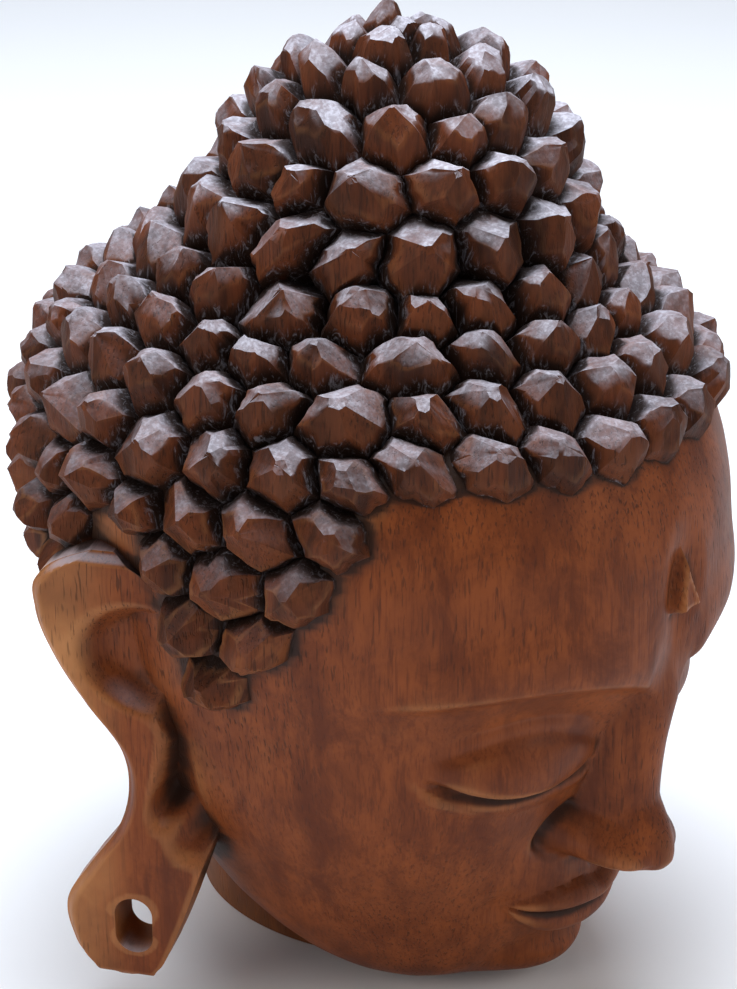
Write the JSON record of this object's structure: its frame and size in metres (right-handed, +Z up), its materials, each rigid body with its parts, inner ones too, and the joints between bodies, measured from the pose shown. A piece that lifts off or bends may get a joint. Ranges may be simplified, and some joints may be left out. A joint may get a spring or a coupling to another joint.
{
  "type": "wooden buddha head",
  "caption": "Carved hardwood head with rows of faceted snail-curl knobs, a tall crown knot, long pierced ears and a calm face, cut flat under the neck",
  "frame": {"origin": "centre of the flat cut under the neck that the head stands on", "axes": "+Z up, -Y the way the face looks, +X the head's own left side"},
  "size_m": [0.2244, 0.2329, 0.3018],
  "materials": {
    "carved_wood": "reddish brown hardwood, hand carved and waxed, dark in the recesses and dusty on the hair"
  },
  "bodies": {
    "root": {"carved_head": "carved_wood"}
  },
  "joints": []
}
